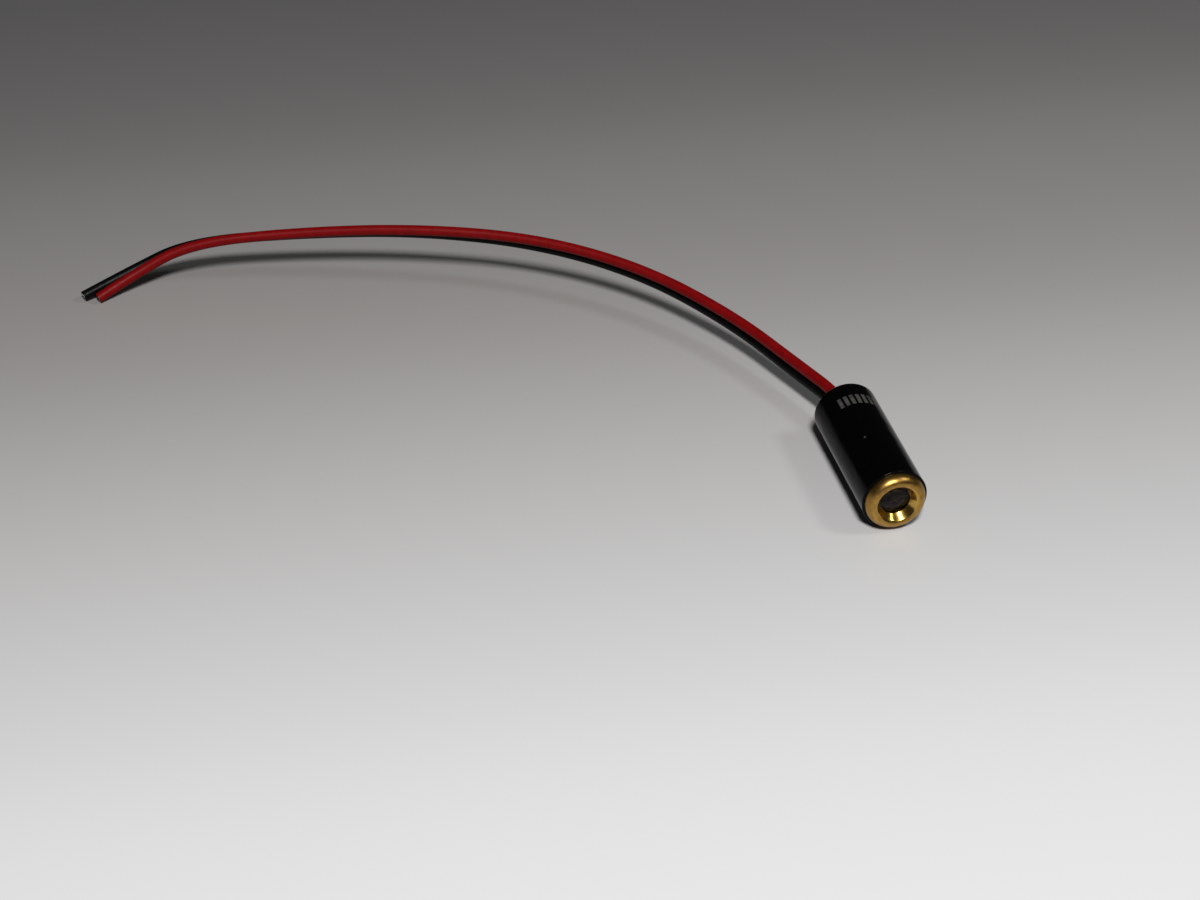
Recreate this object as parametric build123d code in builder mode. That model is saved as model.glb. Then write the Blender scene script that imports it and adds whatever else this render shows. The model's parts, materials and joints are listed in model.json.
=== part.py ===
from build123d import *
import math
import os

# A small fixed-focus laser diode module, lying on its side with its two leads spread behind it.
# The beam leaves along -Y. The surface that the module lies on is Z = 0.
# The origin is on that surface, under the middle of the module's length.

# Sleeve: black shrink film over the whole metal body
sleeve_d = 6.0
sleeve_length = 14.5
sleeve_wall = 0.21
film_clearance = 0.01
film_edge_round = 0.1
lip_overhang = 0.15
dimple_r = 0.5
dimple_floor = 0.05
dimple_from_front = 5.6
dimple_turn = 19.0

# Lens cell: the turned brass nose with its beam opening
nose_proud = 0.9
lip_round = 0.35
cone_angle = 37.0
opening_flare = 0.43
seat_ledge = 0.62
seat_land = 0.12
cell_wall = 0.3
flange_hidden = 0.8
spigot_length = 2.6

# Lens and the ring that holds it
lens_edge = 1.0
lens_front_bulge = 0.25
lens_rear_bulge = 0.5
dome_clearance = 0.1
retainer_length = 0.6

# Focus spring
spring_wire_d = 0.25
spring_turns = 4
spring_clearance = 0.06
spring_seat_gap = 0.02

# Barrel: the brass body, in which a web carries the diode
front_wall = 0.45
rear_wall = 0.45
corner_r = 0.28
focus_gap = 0.15
spigot_room = 0.9
web_front = 1.0
web_clearance = 0.1
fit_clearance = 0.02

# Laser diode in its metal can
header_ledge = 0.4
header_thickness = 1.0
cap_height = 1.8
cap_wall = 0.12
cap_clearance = 0.06
window_opening_d = 1.2
window_gap = 0.3
window_thickness = 0.2
post_width = 1.0
post_length = 1.1
post_clearance = 0.2
laser_chip_width = 0.3
laser_chip_length = 0.4
laser_chip_height = 0.12
sensor_size = 0.4
sensor_thickness = 0.12
pin_d = 0.3
pin_clearance = 0.25
pin_inside = 0.45
seal_d = 0.6

# Leads: round wire in plastic insulation, one above the other at the rear
lead_d = 1.06
lead_gap = 0.04
core_d = 0.4

# Driver board and what is soldered to it
board_gap = 0.4
board_side_gap = 0.45
pin_overlap = 0.5
core_overlap = 0.5
solder_gap = 0.02
solder_d = 0.6
solder_length = 0.4
regulator_length = 2.0
regulator_width = 1.2
regulator_height = 0.9
leg_width = 0.3
leg_reach = 0.3
leg_thickness = 0.12
leg_pitch = 0.65
chip_length = 1.0
chip_width = 0.5
resistor_height = 0.35
resistor_spread = 0.9
capacitor_height = 0.5

# Rear plug
plug_length = 2.0
plug_gap = 0.2

# Routes of the leads behind the module, as X, Y, Z points
red_route = [
    (-2.2, 14.7, 3.57),
    (-6.2, 24.0, 4.07),
    (-13.2, 33.1, 5.17),
    (-22.6, 39.7, 6.0),
    (-34.0, 44.0, 6.15),
    (-45.6, 47.3, 5.4),
    (-56.6, 49.1, 4.5),
    (-62.6, 48.4, 1.95),
    (-66.3, 47.1, 0.52),
]
black_route = [
    (-2.2, 14.75, 2.4),
    (-6.05, 24.1, 2.95),
    (-12.9, 33.4, 4.1),
    (-22.3, 40.25, 5.0),
    (-33.7, 44.85, 5.35),
    (-45.4, 48.25, 4.72),
    (-56.6, 50.15, 4.05),
    (-62.85, 49.5, 1.8),
    (-67.75, 47.8, 0.53),
]
lead_clear_of_rear = 1.2
arc_share = 0.45

# Worked out: radii, from the sleeve inwards
sleeve_r = sleeve_d / 2
axis_z = sleeve_r
film_inner_r = sleeve_r - sleeve_wall
body_r = film_inner_r - film_clearance
shoulder_r = corner_r + film_clearance + sleeve_wall
front_bore_r = body_r - front_wall
rear_bore_r = body_r - rear_wall
rear_lip_r = rear_bore_r - lip_overhang
spigot_r = front_bore_r - fit_clearance
pocket_r = spigot_r - cell_wall
lens_r = pocket_r - fit_clearance
seat_r = lens_r - seat_ledge
dome_r = seat_r - dome_clearance
opening_r = seat_r + opening_flare
cone_turn = math.radians(cone_angle)
face_r = opening_r + lip_round * math.cos(cone_turn)
spring_wire_r = spring_wire_d / 2
spring_r = pocket_r - spring_clearance - spring_wire_r
cap_r = spring_r - spring_wire_r - cap_clearance
cap_inner_r = cap_r - cap_wall
header_r = cap_r + header_ledge
pin_r = pin_d / 2
seal_r = seal_d / 2
lead_r = lead_d / 2
core_r = core_d / 2

# Worked out: places along the barrel's axis, from the nose to the rear
nose_y = -(nose_proud + sleeve_length) / 2
sleeve_front_y = nose_y + nose_proud
cone_front_y = nose_y + lip_round * (1 - math.sin(cone_turn))
cone_back_y = cone_front_y + opening_flare / math.tan(cone_turn)
lens_seat_y = cone_back_y + seat_land
lens_back_y = lens_seat_y + lens_edge
retainer_back_y = lens_back_y + retainer_length
flange_back_y = sleeve_front_y + flange_hidden
barrel_front_y = flange_back_y + focus_gap
spigot_back_y = flange_back_y + spigot_length
web_front_y = spigot_back_y + spigot_room
header_seat_y = web_front_y + web_front
header_back_y = header_seat_y + header_thickness
cap_front_y = header_seat_y - cap_height
window_y = cap_front_y + cap_wall
rear_y = sleeve_front_y + sleeve_length
lip_y = rear_y - sleeve_wall
barrel_back_y = lip_y - film_clearance
corner_y = barrel_back_y - corner_r
plug_front_y = barrel_back_y - plug_length
board_front_y = header_back_y + board_gap
board_back_y = plug_front_y - plug_gap
pin_front_y = header_seat_y - pin_inside
pin_back_y = board_front_y + pin_overlap
core_front_y = board_back_y - core_overlap
board_parts_y = (pin_back_y + core_front_y) / 2

# Worked out: the board fits between the stripped ends of the two leads, and between the pins
lead_pitch = lead_d + lead_gap
red_z = axis_z + lead_pitch / 2
black_z = axis_z - lead_pitch / 2
board_width = 2 * (rear_bore_r - board_side_gap)
board_thickness = lead_pitch - core_d - 2 * solder_gap
board_top_z = axis_z + board_thickness / 2
board_bottom_z = axis_z - board_thickness / 2
upper_pin_z = board_top_z + solder_gap + pin_r
lower_pin_z = board_bottom_z - solder_gap - pin_r
pin_circle_r = cap_inner_r - pin_clearance - pin_r
pin_spread = math.sqrt(pin_circle_r**2 - (upper_pin_z - axis_z)**2)
upper_pins = [(-pin_spread, upper_pin_z), (pin_spread, upper_pin_z)]
lower_pin = (0, lower_pin_z)
cores = [(0, red_z), (0, black_z)]

barrel_axis = Axis((0, 0, axis_z), (0, 1, 0))
axis_plane = Plane.XY.offset(axis_z)
# A cylinder turned this way lies along the barrel's axis
lengthwise = (90, 0, 0)


def turned_profile(*points):
    """A closed outline beside the barrel's axis, from (radius, y) points, to be revolved."""
    with BuildSketch(axis_plane) as outline:
        with BuildLine():
            Polyline(*points, close=True)
        make_face()
    return outline.sketch


def middle(place, start_y, end_y):
    """The centre of a piece that lies along the axis from start_y to end_y, at place = (x, z)."""
    return (place[0], (start_y + end_y) / 2, place[1])


def keep(builder, name):
    """Label a finished piece and write it to its own file."""
    builder.part.label = name
    export_step(builder.part, f"parts/{name}.step")


os.makedirs("parts", exist_ok=True)

# Sleeve, with a rounded front edge, its rear edge curled in over the body, and a punch mark's dimple
shoulder_x = sleeve_r - shoulder_r
shoulder_y = rear_y - shoulder_r
dimple_out = film_inner_r + dimple_floor + dimple_r
dimple_angle = math.radians(dimple_turn)
dimple_x = -dimple_out * math.sin(dimple_angle)
dimple_z = axis_z + dimple_out * math.cos(dimple_angle)
with BuildPart() as sleeve:
    with BuildSketch(axis_plane):
        with BuildLine():
            Polyline((film_inner_r, shoulder_y), (film_inner_r, sleeve_front_y),
                     (sleeve_r - film_edge_round, sleeve_front_y))
            CenterArc((sleeve_r - film_edge_round, sleeve_front_y + film_edge_round), film_edge_round, 270, 90)
            Line((sleeve_r, sleeve_front_y + film_edge_round), (sleeve_r, shoulder_y))
            CenterArc((shoulder_x, shoulder_y), shoulder_r, 0, 90)
            Polyline((shoulder_x, rear_y), (rear_lip_r, rear_y), (rear_lip_r, lip_y), (shoulder_x, lip_y))
            CenterArc((shoulder_x, shoulder_y), shoulder_r - sleeve_wall, 0, 90)
        make_face()
    revolve(axis=barrel_axis)
    with Locations((dimple_x, sleeve_front_y + dimple_from_front, dimple_z)):
        Sphere(dimple_r, mode=Mode.SUBTRACT)
keep(sleeve, "sleeve")

# Lens cell: rounded nose, conical opening, lens pocket and the spigot that goes into the barrel
with BuildPart() as lens_cell:
    with BuildSketch(axis_plane):
        with BuildLine():
            EllipticalCenterArc((face_r, sleeve_front_y), body_r - face_r, nose_proud,
                                start_angle=270, arc_size=90)
            CenterArc((face_r, nose_y + lip_round), lip_round, 180 + cone_angle, 90 - cone_angle)
            Polyline((opening_r, cone_front_y), (seat_r, cone_back_y), (seat_r, lens_seat_y),
                     (pocket_r, lens_seat_y), (pocket_r, spigot_back_y), (spigot_r, spigot_back_y),
                     (spigot_r, flange_back_y), (body_r, flange_back_y), (body_r, sleeve_front_y))
        make_face()
    revolve(axis=barrel_axis)
keep(lens_cell, "lens_cell")

# Lens: a thick disc with a flat rim, domed to the front and more to the rear
lens_tip_y = lens_seat_y - lens_front_bulge
lens_tail_y = lens_back_y + lens_rear_bulge
with BuildPart() as lens:
    with BuildSketch(axis_plane):
        with BuildLine():
            TangentArc((0, lens_tip_y), (dome_r, lens_seat_y), tangent=(1, 0))
            Polyline((dome_r, lens_seat_y), (lens_r, lens_seat_y), (lens_r, lens_back_y),
                     (dome_r, lens_back_y))
            TangentArc((0, lens_tail_y), (dome_r, lens_back_y), tangent=(1, 0))
            Line((0, lens_tail_y), (0, lens_tip_y))
        make_face()
    revolve(axis=barrel_axis)
keep(lens, "lens")

# Lens retainer: a ring that presses on the lens's rim
retainer_inner_r = dome_r + fit_clearance
with BuildPart() as lens_retainer:
    revolve(turned_profile((retainer_inner_r, lens_back_y), (lens_r, lens_back_y),
                           (lens_r, retainer_back_y), (retainer_inner_r, retainer_back_y)),
            axis=barrel_axis)
keep(lens_retainer, "lens_retainer")

# Focus spring, between the retainer and the barrel's web
spring_start_y = retainer_back_y + spring_seat_gap + spring_wire_r
spring_end_y = web_front_y - spring_seat_gap - spring_wire_r
spring_travel = spring_end_y - spring_start_y
with BuildPart() as focus_spring:
    with BuildLine():
        coil = Helix(spring_travel / spring_turns, spring_travel, spring_r,
                     center=(0, spring_start_y, axis_z), direction=(0, 1, 0))
    with BuildSketch(Plane(origin=coil @ 0, z_dir=coil % 0)):
        Circle(spring_wire_r)
    sweep(path=coil, is_frenet=True)
keep(focus_spring, "focus_spring")

# Barrel: front bore for the lens cell, web with the diode's seat, and rear bore for the board
web_hole_r = cap_r + web_clearance
seat_bore_r = header_r + fit_clearance
with BuildPart() as barrel:
    with BuildSketch(axis_plane):
        with BuildLine():
            Polyline((body_r, corner_y), (body_r, barrel_front_y), (front_bore_r, barrel_front_y),
                     (front_bore_r, web_front_y), (web_hole_r, web_front_y), (web_hole_r, header_seat_y),
                     (seat_bore_r, header_seat_y), (seat_bore_r, header_back_y),
                     (rear_bore_r, header_back_y), (rear_bore_r, barrel_back_y),
                     (body_r - corner_r, barrel_back_y))
            CenterArc((body_r - corner_r, corner_y), corner_r, 0, 90)
        make_face()
    revolve(axis=barrel_axis)
keep(barrel, "barrel")

# Diode header: round plate with the post that carries the laser chip, and holes for the sealed pins
post_top_z = axis_z - laser_chip_height
post_foot_z = axis_z + post_clearance - math.sqrt(cap_inner_r**2 - (post_width / 2)**2)
with BuildPart() as diode_header:
    with Locations(middle((0, axis_z), header_seat_y, header_back_y)):
        Cylinder(header_r, header_thickness, rotation=lengthwise)
    with Locations((0, header_seat_y - post_length / 2, (post_top_z + post_foot_z) / 2)):
        Box(post_width, post_length, post_top_z - post_foot_z)
    with Locations([middle(pin, header_seat_y, header_back_y) for pin in upper_pins]):
        Cylinder(seal_r, header_thickness, rotation=lengthwise, mode=Mode.SUBTRACT)
keep(diode_header, "diode_header")

# Diode cap: a thin can with a round opening in its front
window_opening_r = window_opening_d / 2
with BuildPart() as diode_cap:
    revolve(turned_profile((window_opening_r, cap_front_y), (cap_r, cap_front_y), (cap_r, header_seat_y),
                           (cap_inner_r, header_seat_y), (cap_inner_r, window_y),
                           (window_opening_r, window_y)),
            axis=barrel_axis)
keep(diode_cap, "diode_cap")

# Diode window: a glass disc behind the can's opening
with BuildPart() as diode_window:
    with Locations(middle((0, axis_z), window_y, window_y + window_thickness)):
        Cylinder(cap_inner_r - window_gap, window_thickness, rotation=lengthwise)
keep(diode_window, "diode_window")

# Laser chip, at the front of the post with its top on the beam's axis
post_front_y = header_seat_y - post_length
with BuildPart() as laser_chip:
    with Locations((0, post_front_y + laser_chip_length / 2, post_top_z + laser_chip_height / 2)):
        Box(laser_chip_width, laser_chip_length, laser_chip_height)
keep(laser_chip, "laser_chip")

# Monitor sensor, a chip on the header behind the laser chip
with BuildPart() as monitor_sensor:
    with Locations((0, header_seat_y - sensor_thickness / 2, axis_z + sensor_size / 2)):
        Box(sensor_size, sensor_thickness, sensor_size)
keep(monitor_sensor, "monitor_sensor")

# Diode pins: two go through the header, the third is welded to its rear
with BuildPart() as diode_pins:
    with Locations([middle(pin, pin_front_y, pin_back_y) for pin in upper_pins]):
        Cylinder(pin_r, pin_back_y - pin_front_y, rotation=lengthwise)
    with Locations(middle(lower_pin, header_back_y, pin_back_y)):
        Cylinder(pin_r, pin_back_y - header_back_y, rotation=lengthwise)
keep(diode_pins, "diode_pins")

# Pin seals: glass beads around the two pins that go through
with BuildPart() as pin_seals:
    with Locations([middle(pin, header_seat_y, header_back_y) for pin in upper_pins]):
        Cylinder(seal_r, header_thickness, rotation=lengthwise)
        Cylinder(pin_r, header_thickness, rotation=lengthwise, mode=Mode.SUBTRACT)
keep(pin_seals, "pin_seals")

# Driver board
board_length = board_back_y - board_front_y
board_middle = middle((0, axis_z), board_front_y, board_back_y)
with BuildPart() as driver_board:
    with Locations(board_middle):
        Box(board_width, board_length, board_thickness)
keep(driver_board, "driver_board")

# Regulator on the board's upper face, across the board
with BuildPart() as regulator:
    with Locations((0, board_parts_y, board_top_z + leg_thickness + regulator_height / 2)):
        Box(regulator_length, regulator_width, regulator_height)
keep(regulator, "regulator")

# Regulator legs: two to the front and one to the rear, flat on the board and under the body
leg_length = regulator_width / 2 + leg_reach
leg_z = board_top_z + leg_thickness / 2
front_leg_y = board_parts_y - leg_length / 2
rear_leg_y = board_parts_y + leg_length / 2
with BuildPart() as regulator_legs:
    with Locations((-leg_pitch, front_leg_y, leg_z), (leg_pitch, front_leg_y, leg_z), (0, rear_leg_y, leg_z)):
        Box(leg_width, leg_length, leg_thickness)
keep(regulator_legs, "regulator_legs")

# Two resistors and a capacitor on the board's lower face
resistor_z = board_bottom_z - resistor_height / 2
with BuildPart() as chip_resistors:
    with Locations([(x, board_parts_y, resistor_z) for x in (-resistor_spread, resistor_spread)]):
        Box(chip_width, chip_length, resistor_height)
keep(chip_resistors, "chip_resistors")

with BuildPart() as chip_capacitor:
    with Locations((0, board_parts_y, board_bottom_z - capacitor_height / 2)):
        Box(chip_width, chip_length, capacitor_height)
keep(chip_capacitor, "chip_capacitor")

# Stripped ends of the leads, on both faces of the board
with BuildPart() as stripped_ends:
    with Locations([middle(core, core_front_y, plug_front_y) for core in cores]):
        Cylinder(core_r, plug_front_y - core_front_y, rotation=lengthwise)
keep(stripped_ends, "stripped_ends")

# Solder joints around the pins and the stripped ends, down to the board's faces
pin_joint_y = (board_front_y + pin_back_y) / 2
core_joint_y = (core_front_y + board_back_y) / 2
with BuildPart() as solder_joints:
    with Locations([(x, pin_joint_y, z) for x, z in (*upper_pins, lower_pin)]):
        Cylinder(solder_d / 2, solder_length, rotation=lengthwise)
        Cylinder(pin_r, solder_length, rotation=lengthwise, mode=Mode.SUBTRACT)
    with Locations([(x, core_joint_y, z) for x, z in cores]):
        Cylinder(solder_d / 2, solder_length, rotation=lengthwise)
        Cylinder(core_r, solder_length, rotation=lengthwise, mode=Mode.SUBTRACT)
    with Locations(board_middle):
        Box(board_width, board_length, board_thickness, mode=Mode.SUBTRACT)
keep(solder_joints, "solder_joints")

# Rear plug: fills the barrel behind the board, with one slot for both leads
slot_plane = Plane(origin=(0, plug_front_y, axis_z), x_dir=(0, 0, 1), z_dir=(0, 1, 0))
slot_width = lead_d + 2 * fit_clearance
with BuildPart() as rear_plug:
    with BuildSketch(slot_plane):
        Circle(rear_bore_r - fit_clearance)
        SlotCenterToCenter(lead_pitch, slot_width, mode=Mode.SUBTRACT)
    extrude(amount=plug_length)
keep(rear_plug, "rear_plug")


def arc_radii(points):
    """The radius of the arc at each corner of a route, as large as the shorter of its two runs allows."""
    radii = []
    for before, corner, after in zip(points, points[1:], points[2:]):
        run_in = Vector(*corner) - Vector(*before)
        run_out = Vector(*after) - Vector(*corner)
        half_turn = math.radians(run_in.get_angle(run_out) / 2)
        radii.append(arc_share * min(run_in.length, run_out.length) / math.tan(half_turn))
    return radii


# Leads: from the board's end of the plug, straight through it, then along their routes
lead_section = math.pi * lead_r**2
for name, start_z, route in (("red_lead", red_z, red_route), ("black_lead", black_z, black_route)):
    points = [(0, plug_front_y, start_z), (0, rear_y + lead_clear_of_rear, start_z), *route]
    radii = arc_radii(points)
    with BuildPart() as lead:
        with BuildLine():
            path = FilletPolyline(*points, radius=radii)
        with BuildSketch(Plane(origin=path @ 0, z_dir=path % 0)):
            Circle(lead_r)
        sweep(path=path)
    keep(lead, name)
    print(name, "length", round(path.length, 1), "radii", [round(radius, 1) for radius in radii])
    print(name, "volume over section times length", round(lead.part.volume / (lead_section * path.length), 5))
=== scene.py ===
import json
import math

import bmesh
import bpy
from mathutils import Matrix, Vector


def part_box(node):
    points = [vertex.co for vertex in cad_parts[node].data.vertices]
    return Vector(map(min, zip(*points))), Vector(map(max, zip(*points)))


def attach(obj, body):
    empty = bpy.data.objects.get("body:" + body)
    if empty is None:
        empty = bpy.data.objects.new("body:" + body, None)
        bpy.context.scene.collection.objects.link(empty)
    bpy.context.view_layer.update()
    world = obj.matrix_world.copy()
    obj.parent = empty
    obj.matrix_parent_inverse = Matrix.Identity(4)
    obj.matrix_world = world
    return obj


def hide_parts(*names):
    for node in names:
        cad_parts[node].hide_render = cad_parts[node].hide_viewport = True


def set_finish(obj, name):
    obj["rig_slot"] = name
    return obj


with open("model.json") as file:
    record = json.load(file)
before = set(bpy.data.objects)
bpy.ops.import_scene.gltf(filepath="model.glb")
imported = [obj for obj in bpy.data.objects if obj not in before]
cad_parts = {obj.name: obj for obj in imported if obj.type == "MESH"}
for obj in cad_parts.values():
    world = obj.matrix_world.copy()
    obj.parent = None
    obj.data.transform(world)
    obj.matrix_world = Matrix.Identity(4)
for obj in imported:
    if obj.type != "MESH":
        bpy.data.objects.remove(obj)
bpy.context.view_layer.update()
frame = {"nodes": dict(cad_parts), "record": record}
scene = bpy.context.scene
scene.view_settings.view_transform = "Standard"

MM = 0.001


def in_mm(length):
    """A length of the frame, in millimetres to a hundredth."""
    return round(length / MM, 2)


# Places on the module, in millimetres
sleeve_low, sleeve_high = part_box("sleeve")
SLEEVE_R = in_mm((sleeve_high.x - sleeve_low.x) / 2)
AXIS_Z = in_mm((sleeve_high.z + sleeve_low.z) / 2)
FRONT_Y = in_mm(sleeve_low.y)
OPENING_R = 1.8
DIMPLE = (-0.96, -1.2, 5.79)

# Camera: where it stands, in metres, and how it looks
CAMERA_EYE = (-0.063667, -0.166181, 0.129025)
CAMERA_AZIMUTH = -13.08
CAMERA_ELEVATION = 35.43
CAMERA_LENS = 72.0
CAMERA_SENSOR = 36.0
CAMERA_NEAR = 0.001

# Leads: diameter, and control points from the plug to the cut end, in metres
LEAD_D = 0.00106
RED_ROUTE = [
    (0.0, 0.00548, 0.00355),
    (0.0, 0.0089, 0.00355),
    (-0.0022, 0.0147, 0.00357),
    (-0.0062, 0.024, 0.00407),
    (-0.0132, 0.0331, 0.00517),
    (-0.0226, 0.0397, 0.006),
    (-0.034, 0.044, 0.00615),
    (-0.0456, 0.0473, 0.0054),
    (-0.0566, 0.0491, 0.0045),
    (-0.0626, 0.0484, 0.00195),
    (-0.0663, 0.0471, 0.00052),
]
BLACK_ROUTE = [
    (0.0, 0.00548, 0.00245),
    (0.0, 0.0089, 0.00245),
    (-0.0022, 0.01475, 0.0024),
    (-0.00605, 0.0241, 0.00295),
    (-0.0129, 0.0334, 0.0041),
    (-0.0223, 0.04025, 0.005),
    (-0.0337, 0.04485, 0.00535),
    (-0.0454, 0.04825, 0.00472),
    (-0.0566, 0.05015, 0.00405),
    (-0.06285, 0.0495, 0.0018),
    (-0.06775, 0.0478, 0.00053),
]

# How finely the leads are meshed, around and along
LEAD_STEPS_AROUND = 6
LEAD_STEPS_ALONG = 24

# Cut ends: the strands of the core, in metres
STRAND_D = 0.00013
STRAND_RING_R = 0.00014
STRAND_PROUD = 0.00002
STRAND_SUNK = 0.0006
STRANDS_IN_RING = 6
STRAND_SIDES = 12

# Noise: its detail and roughness, and limits for most of its values, the higher ones and two noises added
NOISE_DETAIL = 3.0
NOISE_ROUGHNESS = 0.55
MOST_NOISE = (0.3, 0.7)
HIGHER_NOISE = (0.35, 0.7)
TWO_NOISES = (0.7, 1.3)

# Print on the sleeve: a row of plain blocks to the left and right of the top, in millimetres
PRINT_START_Y = 4.15
PRINT_END_Y = 5.55
PRINT_BLOCKS_LEFT = 3
PRINT_BLOCKS_RIGHT = 4
PRINT_PITCH = 0.58
PRINT_BLOCK = 0.34
PRINT_ROW_BLUR = 0.04
PRINT_END_BLUR = 0.02
PRINT_BLOCK_BLUR = 0.05
PRINT_WEAR_NOISE = (0.36, 0.55)
PRINT_WORN_SHARE = 0.5
PRINT_INK = (0.075, 0.074, 0.07)

# Black film: colours, roughness and what is added to it in places, and lengths in millimetres
FILM_IOR = 1.16
FILM_DARK = (0.0006, 0.0006, 0.0008)
FILM_LIGHT = (0.0014, 0.0014, 0.0017)
FILM_SCUFF = (0.005, 0.005, 0.005)
FILM_SCUFF_NOISE = (0.4, 0.65)
FILM_SCUFF_SHARE = 0.7
FILM_ROUGHNESS = (0.06, 0.12)
PRINT_DULLNESS = 0.35
EDGE_DULLNESS = 0.1
EDGE_BAND = (0.05, 0.3)
DIMPLE_DULLNESS = 0.22
DIMPLE_BAND = (0.3, 0.5)
RIPPLE_STRETCH = (1.0, 0.35, 1.0)
RIPPLE_DEPTH = 0.05
FINE_RIPPLE_SHARE = 0.05

# Polished brass: colours, roughness and what the rim adds to it, and lengths in millimetres
CONE_BRASS = (0.65, 0.41, 0.1)
RIM_BRASS = (0.46, 0.267, 0.067)
RIM_TARNISH = (0.315, 0.172, 0.038)
BRASS_ROUGHNESS = (0.16, 0.26)
RIM_DULLNESS = 0.13
RIM_BLUR = 0.2
TURNING_SCALE = 18.0
TURNING_SLANT = 0.8
TURNING_DEPTH = 0.004

# Clear pieces: tint, refraction, share of reflection left by the coating, haze, and relief in millimetres;
# the lens's dark brown tint is painted shade that darkens the opening behind it
LENS_PAINTED_SHADE = (0.5, 0.42, 0.28)
LENS_IOR = 1.49
WINDOW_TINT = (0.93, 0.97, 0.98)
WINDOW_IOR = 1.52
COATED_SHARE = (0.25, 0.25, 0.28)
HAZE_ROUGHNESS = 0.02
CLEAR_RELIEF = 0.0003

# Insulation: colours, roughness and its spread, shine, and relief in millimetres
RED_DARK = (0.155, 0.0018, 0.0027)
RED_LIGHT = (0.205, 0.0027, 0.0036)
RED_ROUGHNESS = 0.42
BLACK_DARK = (0.0015, 0.0015, 0.0018)
BLACK_LIGHT = (0.003, 0.003, 0.0034)
BLACK_ROUGHNESS = 0.38
INSULATION_SHINE = 0.1
INSULATION_ROUGH_SHARES = (0.8, 1.3)
INSULATION_RELIEF = 0.006

# Plain finishes: colour and how far it spreads, roughness, grain per millimetre and relief in millimetres
METALS = {
    "plain_brass": dict(colour=(0.62, 0.44, 0.19), spread=0.15, roughness=0.3, grain=3.0, depth=0.003),
    "spring_steel": dict(colour=(0.55, 0.55, 0.57), spread=0.12, roughness=0.25, grain=6.0, depth=0.002),
    "gold_plate": dict(colour=(0.86, 0.66, 0.3), spread=0.1, roughness=0.2, grain=5.0, depth=0.002),
    "can_metal": dict(colour=(0.6, 0.59, 0.58), spread=0.1, roughness=0.28, grain=5.0, depth=0.002),
    "tinned_metal": dict(colour=(0.5, 0.49, 0.47), spread=0.12, roughness=0.42, grain=6.0, depth=0.004),
}
NON_METALS = {
    "retainer_plastic": dict(colour=(0.014, 0.014, 0.014), spread=0.3, roughness=0.55, grain=4.0,
                             depth=0.008),
    "die": dict(colour=(0.1, 0.1, 0.13), spread=0.25, roughness=0.15, grain=12.0, depth=0.001, ior=2.5),
    "seal_glass": dict(colour=(0.16, 0.24, 0.22), spread=0.2, roughness=0.15, grain=8.0, depth=0.002),
    "board_laminate": dict(colour=(0.02, 0.13, 0.045), spread=0.25, roughness=0.4, grain=6.0, depth=0.006),
    "chip_plastic": dict(colour=(0.02, 0.02, 0.022), spread=0.3, roughness=0.6, grain=8.0, depth=0.008),
    "resistor_ceramic": dict(colour=(0.05, 0.05, 0.06), spread=0.25, roughness=0.45, grain=8.0, depth=0.004),
    "capacitor_ceramic": dict(colour=(0.4, 0.28, 0.18), spread=0.2, roughness=0.5, grain=8.0, depth=0.005),
    "potting": dict(colour=(0.013, 0.013, 0.013), spread=0.3, roughness=0.5, grain=2.5, depth=0.03),
}
FINE_GRAIN = 6
ROUGH_SHARES = (0.8, 1.25)

# Table: half its side and its drop below the module, in metres, and its roughness
FLOOR_HALF = 1.5
FLOOR_DROP = 0.00002
FLOOR_ROUGHNESS = (0.3, 0.4)

# Painted shade on the table, darker from near to far in place of light falling off: where it starts and
# ends, in millimetres, and its stops
FLOOR_NEAR = -65.0
FLOOR_FAR = 115.0
FLOOR_SLANT = 0.06
FLOOR_PAINTED_SHADE_STOPS = [
    (0.0, (0.81, 0.825, 0.84)),
    (0.22, (0.725, 0.74, 0.75)),
    (0.5, (0.43, 0.425, 0.42)),
    (0.75, (0.255, 0.25, 0.248)),
    (1.0, (0.163, 0.161, 0.163)),
]

# Light: dim light from the room, and two round lamps in metres and watts
ROOM_LIGHT = 0.028
ROOM_COLOUR = (1.0, 0.98, 0.97)
LAMP_AIM = (-0.02, 0.02, 0.0)
LAMPS = {
    "main_lamp": dict(place=(-0.052, -0.25, 0.367), size=0.08, power=1.87, colour=(1.0, 0.97, 0.96)),
    "side_lamp": dict(place=(0.295, -0.108, 0.389), size=0.1, power=0.37, colour=(0.94, 1.0, 0.98)),
}


def make_camera():
    """The camera, at the photograph's viewing angle."""
    data = bpy.data.cameras.new("camera")
    data.lens = CAMERA_LENS
    data.sensor_width = CAMERA_SENSOR
    data.clip_start = CAMERA_NEAR
    camera = bpy.data.objects.new("camera", data)
    camera.location = CAMERA_EYE
    camera.rotation_euler = (math.radians(90 - CAMERA_ELEVATION), 0, math.radians(CAMERA_AZIMUTH))
    scene.collection.objects.link(camera)
    scene.camera = camera


def make_lead(colour, route):
    """One lead as a smooth round cord along its route, and the core in its cut end."""
    name = f"{colour}_lead_cord"
    data = bpy.data.curves.new(name, "CURVE")
    data.dimensions = "3D"
    # A bevel of 1 leaves the thickness to each point's radius
    data.bevel_depth = 1.0
    data.bevel_resolution = LEAD_STEPS_AROUND
    data.resolution_u = LEAD_STEPS_ALONG
    data.use_fill_caps = True
    spline = data.splines.new("NURBS")
    spline.points.add(len(route) - 1)
    for point, place in zip(spline.points, route):
        point.co = (*place, 1.0)
        point.radius = LEAD_D / 2
    spline.order_u = 3
    spline.use_endpoint_u = True
    lead = bpy.data.objects.new(name, data)
    scene.collection.objects.link(lead)
    core = make_core_end(f"{colour}_lead_core_end", route)
    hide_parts(f"{colour}_lead")
    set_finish(lead, f"{colour}_insulation")
    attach(lead, "root")
    return lead, core


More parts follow.
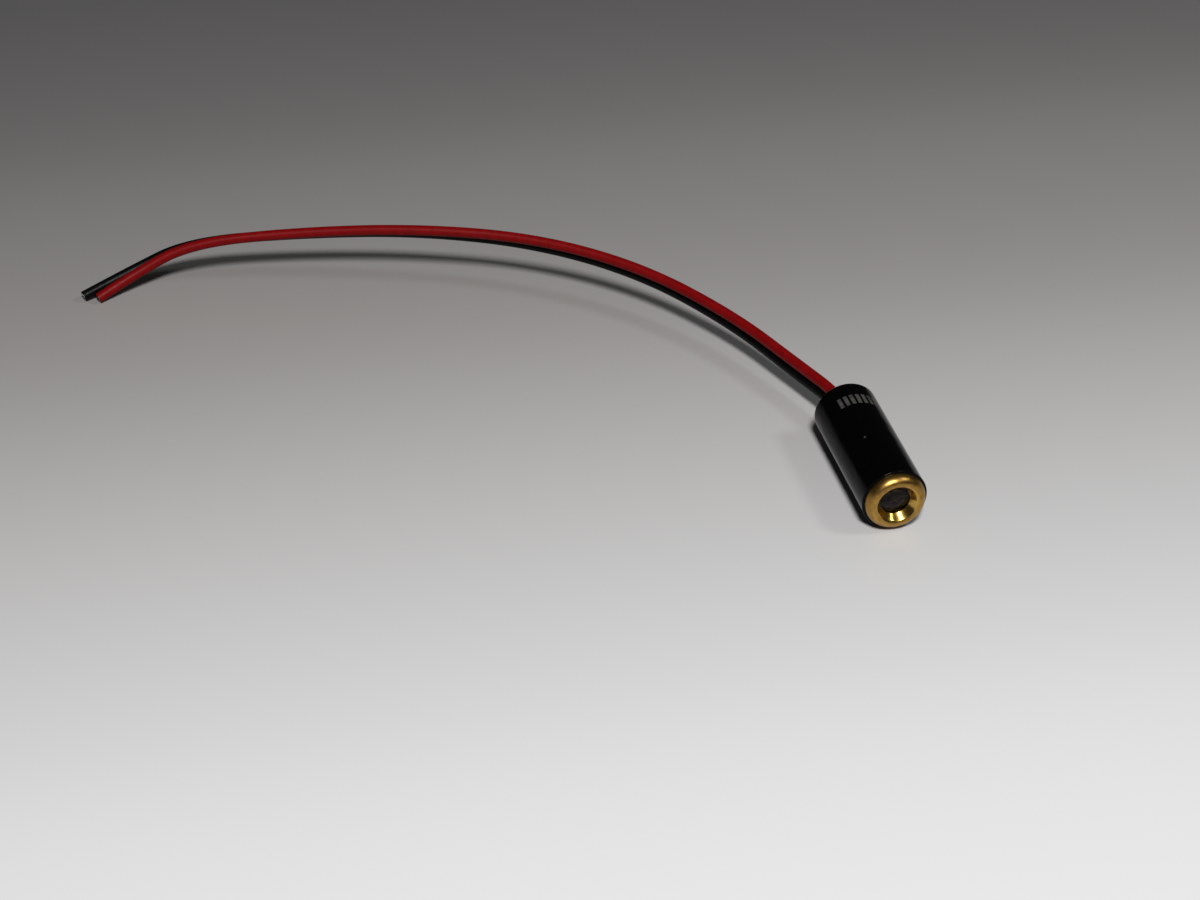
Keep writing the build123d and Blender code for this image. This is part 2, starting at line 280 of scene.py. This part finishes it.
def make_core_end(name, route):
    """The strands of a lead's core, as they show in its cut end."""
    tip = Vector(route[-1])
    outward = (tip - Vector(route[-2])).normalized()
    turn = outward.to_track_quat("Z", "Y")
    steps = [math.tau * i / STRANDS_IN_RING for i in range(STRANDS_IN_RING)]
    places = [Vector((0, 0, 0))]
    places += [Vector((math.cos(step), math.sin(step), 0)) * STRAND_RING_R for step in steps]
    mesh = bmesh.new()
    for place in places:
        made = bmesh.ops.create_cone(mesh, cap_ends=True, segments=STRAND_SIDES, radius1=STRAND_D / 2,
                                     radius2=STRAND_D / 2, depth=STRAND_PROUD + STRAND_SUNK)
        middle = place + Vector((0, 0, (STRAND_PROUD - STRAND_SUNK) / 2))
        for vertex in made["verts"]:
            vertex.co = tip + turn @ (vertex.co + middle)
    data = bpy.data.meshes.new(name)
    mesh.to_mesh(data)
    mesh.free()
    core = bpy.data.objects.new(name, data)
    scene.collection.objects.link(core)
    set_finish(core, "tinned_metal")
    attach(core, "root")
    return core


class Shader:
    """A material's node tree, with short calls for the nodes that the materials here share."""

    def __init__(self, slot, metallic=0.0, ior=1.5):
        self.slot = slot
        self.material = bpy.data.materials.new(slot)
        self.material.use_nodes = True
        self.nodes = self.material.node_tree.nodes
        self.links = self.material.node_tree.links
        self.surface = self.nodes["Principled BSDF"]
        self.set(Metallic=metallic, IOR=ior)
        place = self.nodes.new("ShaderNodeTexCoord").outputs["Object"]
        scaled = self.nodes.new("ShaderNodeVectorMath")
        scaled.operation = "SCALE"
        scaled.inputs["Scale"].default_value = 1 / MM
        self.links.new(place, scaled.inputs[0])
        self.place = scaled.outputs["Vector"]

    def put(self, socket, value):
        """A number or colour is set on the socket, and another node's output is linked to it."""
        if isinstance(value, bpy.types.NodeSocket):
            self.links.new(value, socket)
        elif socket.type == "RGBA":
            socket.default_value = (*value, 1.0)
        else:
            socket.default_value = value

    def set(self, **values):
        """Sockets of the surface by name, with _ for a space."""
        for name, value in values.items():
            self.put(self.surface.inputs[name.replace("_", " ")], value)

    def math(self, operation, first, second=0.0):
        node = self.nodes.new("ShaderNodeMath")
        node.operation = operation
        self.put(node.inputs[0], first)
        self.put(node.inputs[1], second)
        return node.outputs[0]

    def axes(self):
        """The X, Y and Z of a place, in millimetres."""
        node = self.nodes.new("ShaderNodeSeparateXYZ")
        self.put(node.inputs[0], self.place)
        return node.outputs["X"], node.outputs["Y"], node.outputs["Z"]

    def distance(self, point):
        """How far a place is from a point, in millimetres."""
        node = self.nodes.new("ShaderNodeVectorMath")
        node.operation = "DISTANCE"
        self.put(node.inputs[0], self.place)
        self.put(node.inputs[1], point)
        return node.outputs["Value"]

    def stretched(self, factors):
        """Places stretched along the axes, for grain that runs one way."""
        node = self.nodes.new("ShaderNodeVectorMath")
        node.operation = "MULTIPLY"
        self.put(node.inputs[0], self.place)
        self.put(node.inputs[1], factors)
        return node.outputs["Vector"]

    def noise(self, scale, detail=NOISE_DETAIL, place=None):
        node = self.nodes.new("ShaderNodeTexNoise")
        self.put(node.inputs["Vector"], place or self.place)
        self.put(node.inputs["Scale"], scale)
        self.put(node.inputs["Detail"], detail)
        self.put(node.inputs["Roughness"], NOISE_ROUGHNESS)
        return node.outputs["Fac"]

    def rings(self, scale, place):
        """Turning marks: noise along one measure only."""
        node = self.nodes.new("ShaderNodeTexNoise")
        node.noise_dimensions = "1D"
        self.put(node.inputs["W"], place)
        self.put(node.inputs["Scale"], scale)
        self.put(node.inputs["Detail"], NOISE_DETAIL)
        return node.outputs["Fac"]

    def span(self, value, low, high, start=0.0, end=1.0):
        """A value from low to high, mapped to start to end and held there."""
        node = self.nodes.new("ShaderNodeMapRange")
        for socket, given in zip(node.inputs, (value, low, high, start, end)):
            self.put(socket, given)
        return node.outputs[0]

    def blend(self, share, first, second):
        """Two colours, mixed by share."""
        node = self.nodes.new("ShaderNodeMix")
        node.data_type = "RGBA"
        self.put(node.inputs["Factor"], share)
        colours = [socket for socket in node.inputs if socket.type == "RGBA"]
        self.put(colours[0], first)
        self.put(colours[1], second)
        return [socket for socket in node.outputs if socket.type == "RGBA"][0]

    def ramp(self, share, stops):
        """Colours along a share of 0 to 1, from (place, colour) stops."""
        node = self.nodes.new("ShaderNodeValToRGB")
        self.put(node.inputs["Fac"], share)
        node.color_ramp.interpolation = "CARDINAL"
        stretch = node.color_ramp.elements
        while len(stretch) < len(stops):
            stretch.new(0.5)
        for element, (place, colour) in zip(stretch, stops):
            element.position = place
            element.color = (*colour, 1.0)
        return node.outputs["Color"]

    def bump(self, height, depth):
        """Relief of a height between 0 and 1, with its depth in millimetres."""
        node = self.nodes.new("ShaderNodeBump")
        self.put(node.inputs["Strength"], 1.0)
        self.put(node.inputs["Distance"], depth * MM)
        self.put(node.inputs["Height"], height)
        return node.outputs["Normal"]


def radius_from_axis(shader):
    """How far a place is from the barrel's axis, in millimetres."""
    x, _, z = shader.axes()
    up = shader.math("SUBTRACT", z, AXIS_Z)
    squares = shader.math("ADD", shader.math("MULTIPLY", x, x), shader.math("MULTIPLY", up, up))
    return shader.math("SQRT", squares)


def between(shader, value, low, high, blur):
    """1 where a value lies between two limits, with soft edges, and 0 elsewhere."""
    rise = shader.span(value, low - blur, low + blur)
    fall = shader.span(value, high - blur, high + blur, 1, 0)
    return shader.math("MULTIPLY", rise, fall)


def print_marks(shader):
    """A row of plain blocks around the sleeve, a little worn."""
    x, y, z = shader.axes()
    turn = shader.math("ARCTAN2", x, shader.math("SUBTRACT", z, AXIS_Z))
    along = shader.math("MULTIPLY", turn, SLEEVE_R)
    left = -PRINT_BLOCKS_LEFT * PRINT_PITCH
    right = PRINT_BLOCKS_RIGHT * PRINT_PITCH
    row = between(shader, y, PRINT_START_Y, PRINT_END_Y, PRINT_ROW_BLUR)
    reach = between(shader, along, left, right, PRINT_END_BLUR)
    cell = shader.math("PINGPONG", along, PRINT_PITCH / 2)
    inset = (PRINT_PITCH - PRINT_BLOCK) / 2
    blocks = shader.span(cell, inset - PRINT_BLOCK_BLUR, inset + PRINT_BLOCK_BLUR)
    worn = shader.span(shader.noise(scale=2.2, detail=4.0), *PRINT_WEAR_NOISE, PRINT_WORN_SHARE, 1)
    marks = shader.math("MULTIPLY", shader.math("MULTIPLY", row, reach), blocks)
    return shader.math("MULTIPLY", marks, worn)


def black_film(slot):
    """Glossy shrink film, a little uneven, with pale print, a dull front edge and a dull dimple."""
    shader = Shader(slot, ior=FILM_IOR)
    _, y, _ = shader.axes()
    film = shader.blend(shader.noise(scale=0.8), FILM_DARK, FILM_LIGHT)
    behind_front = shader.math("SUBTRACT", y, FRONT_Y)
    edge = shader.span(behind_front, *EDGE_BAND, 1, 0)
    scuffs = shader.span(shader.noise(scale=9.0), *FILM_SCUFF_NOISE, 0, FILM_SCUFF_SHARE)
    film = shader.blend(shader.math("MULTIPLY", edge, scuffs), film, FILM_SCUFF)
    marks = print_marks(shader)
    shader.set(Base_Color=shader.blend(marks, film, PRINT_INK))
    gloss = shader.span(shader.noise(scale=3.0, detail=5.0), *MOST_NOISE, *FILM_ROUGHNESS)
    print_dull = shader.math("MULTIPLY", marks, PRINT_DULLNESS)
    edge_dull = shader.math("MULTIPLY", edge, EDGE_DULLNESS)
    dimple_dull = shader.span(shader.distance(DIMPLE), *DIMPLE_BAND, DIMPLE_DULLNESS, 0)
    dull = shader.math("ADD", shader.math("ADD", print_dull, edge_dull), dimple_dull)
    shader.set(Roughness=shader.math("ADD", gloss, dull))
    ripple = shader.noise(scale=0.9, detail=2.0, place=shader.stretched(RIPPLE_STRETCH))
    fine = shader.math("MULTIPLY", shader.noise(scale=14.0, detail=2.0), FINE_RIPPLE_SHARE)
    shader.set(Normal=shader.bump(shader.math("ADD", ripple, fine), RIPPLE_DEPTH))
    return shader


def polished_brass(slot):
    """Turned brass with faint rings, a bright cone and a duller rim with some tarnish."""
    shader = Shader(slot, metallic=1.0)
    _, y, _ = shader.axes()
    radius = radius_from_axis(shader)
    tarnish = shader.span(shader.noise(scale=2.4, detail=5.0), *HIGHER_NOISE)
    rim = shader.span(radius, OPENING_R, OPENING_R + RIM_BLUR)
    shader.set(Base_Color=shader.blend(rim, CONE_BRASS, shader.blend(tarnish, RIM_BRASS, RIM_TARNISH)))
    slant = shader.math("MULTIPLY", y, TURNING_SLANT)
    rings = shader.rings(TURNING_SCALE, shader.math("ADD", radius, slant))
    uneven = shader.math("ADD", rings, shader.noise(scale=7.0))
    gloss = shader.span(uneven, *TWO_NOISES, *BRASS_ROUGHNESS)
    shader.set(Roughness=shader.math("ADD", gloss, shader.math("MULTIPLY", rim, RIM_DULLNESS)))
    shader.set(Normal=shader.bump(rings, TURNING_DEPTH))
    return shader


def clear(slot, tint_and_painted_shade, ior):
    """Clear moulded or cut glass with a trace of haze, coated against reflections, with a tint that for the
    lens is painted shade darkening the opening behind it.
    """
    shader = Shader(slot, ior=ior)
    shader.set(Base_Color=tint_and_painted_shade, Transmission_Weight=1.0, Specular_Tint=COATED_SHARE)
    haze = shader.span(shader.noise(scale=6.0, detail=4.0), *HIGHER_NOISE, 0, HAZE_ROUGHNESS)
    shader.set(Roughness=haze)
    shader.set(Normal=shader.bump(shader.noise(scale=1.5, detail=2.0), CLEAR_RELIEF))
    return shader


def insulation(slot, dark, light, roughness):
    """Soft plastic insulation with mottled colour, uneven gloss and fine relief."""
    shader = Shader(slot)
    shader.set(Specular_IOR_Level=INSULATION_SHINE)
    mottle = shader.span(shader.noise(scale=1.2, detail=4.0), *MOST_NOISE)
    shader.set(Base_Color=shader.blend(mottle, dark, light))
    limits = [roughness * share for share in INSULATION_ROUGH_SHARES]
    shader.set(Roughness=shader.span(shader.noise(scale=5.0, detail=4.0), *MOST_NOISE, *limits))
    shader.set(Normal=shader.bump(shader.noise(scale=9.0), INSULATION_RELIEF))
    return shader


def grained(slot, colour, spread, roughness, grain, depth, metallic=0.0, ior=1.5):
    """A plain finish with mottled colour, uneven gloss and fine relief."""
    shader = Shader(slot, metallic, ior)
    coarse = shader.noise(grain, detail=4.0)
    fine = shader.noise(grain * FINE_GRAIN)
    dark = tuple(channel * (1 - spread) for channel in colour)
    light = tuple(channel * (1 + spread) for channel in colour)
    shader.set(Base_Color=shader.blend(shader.span(coarse, *MOST_NOISE), dark, light))
    limits = [roughness * share for share in ROUGH_SHARES]
    shader.set(Roughness=shader.span(fine, *MOST_NOISE, *limits))
    shader.set(Normal=shader.bump(shader.math("ADD", coarse, fine), depth))
    return shader


def make_materials():
    """The material of every slot, by the slot's name."""
    shaders = [
        black_film("black_film"),
        polished_brass("polished_brass"),
        # The lens's dark brown tint is painted shade: a clear lens made dark so the opening behind it looks
        # shaded.
        clear("lens_acrylic", LENS_PAINTED_SHADE, LENS_IOR),
        clear("window_glass", WINDOW_TINT, WINDOW_IOR),
        insulation("red_insulation", RED_DARK, RED_LIGHT, RED_ROUGHNESS),
        insulation("black_insulation", BLACK_DARK, BLACK_LIGHT, BLACK_ROUGHNESS),
    ]
    shaders += [grained(slot, metallic=1.0, **finish) for slot, finish in METALS.items()]
    shaders += [grained(slot, **finish) for slot, finish in NON_METALS.items()]
    return {shader.slot: shader.material for shader in shaders}


def dress(pieces):
    """Every CAD node and every new piece gets the material of its slot."""
    materials = make_materials()
    for subpart in frame["record"]["subparts"]:
        for place in frame["nodes"][subpart["node"]].material_slots:
            place.material = materials[subpart["material_slot"]]
    for piece in pieces:
        piece.data.materials.append(materials[piece["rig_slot"]])


def make_floor():
    """A pale glossy table, with painted shade that makes it greyer to the back."""
    mesh = bmesh.new()
    bmesh.ops.create_grid(mesh, x_segments=1, y_segments=1, size=FLOOR_HALF)
    data = bpy.data.meshes.new("floor")
    mesh.to_mesh(data)
    mesh.free()
    floor = bpy.data.objects.new("floor", data)
    floor.location.z = -FLOOR_DROP
    scene.collection.objects.link(floor)
    shader = Shader("table_top")
    x, y, _ = shader.axes()
    away = shader.math("ADD", y, shader.math("MULTIPLY", x, FLOOR_SLANT))
    # Painted shade: the table's colour darkens toward the back in place of light falling off.
    shader.set(Base_Color=shader.ramp(shader.span(away, FLOOR_NEAR, FLOOR_FAR), FLOOR_PAINTED_SHADE_STOPS))
    shader.set(Roughness=shader.span(shader.noise(scale=0.02, detail=4.0), *MOST_NOISE, *FLOOR_ROUGHNESS))
    floor.data.materials.append(shader.material)


def make_lamp(name, place, size, power, colour):
    """A soft round lamp that points at the object."""
    data = bpy.data.lights.new(name, "AREA")
    data.shape = "DISK"
    data.size = size
    data.energy = power
    data.color = colour
    lamp = bpy.data.objects.new(name, data)
    lamp.location = place
    lamp.rotation_mode = "QUATERNION"
    lamp.rotation_quaternion = (Vector(LAMP_AIM) - Vector(place)).to_track_quat("-Z", "Y")
    scene.collection.objects.link(lamp)


def make_world():
    """Dim light from the room, all around."""
    world = bpy.data.worlds.new("room")
    world.use_nodes = True
    scene.world = world
    background = world.node_tree.nodes["Background"]
    background.inputs["Color"].default_value = (*ROOM_COLOUR, 1.0)
    background.inputs["Strength"].default_value = ROOM_LIGHT


make_camera()
red_pieces = make_lead("red", RED_ROUTE)
black_pieces = make_lead("black", BLACK_ROUTE)
dress([*red_pieces, *black_pieces])
make_floor()
make_world()
for lamp_name, lamp_values in LAMPS.items():
    make_lamp(lamp_name, **lamp_values)
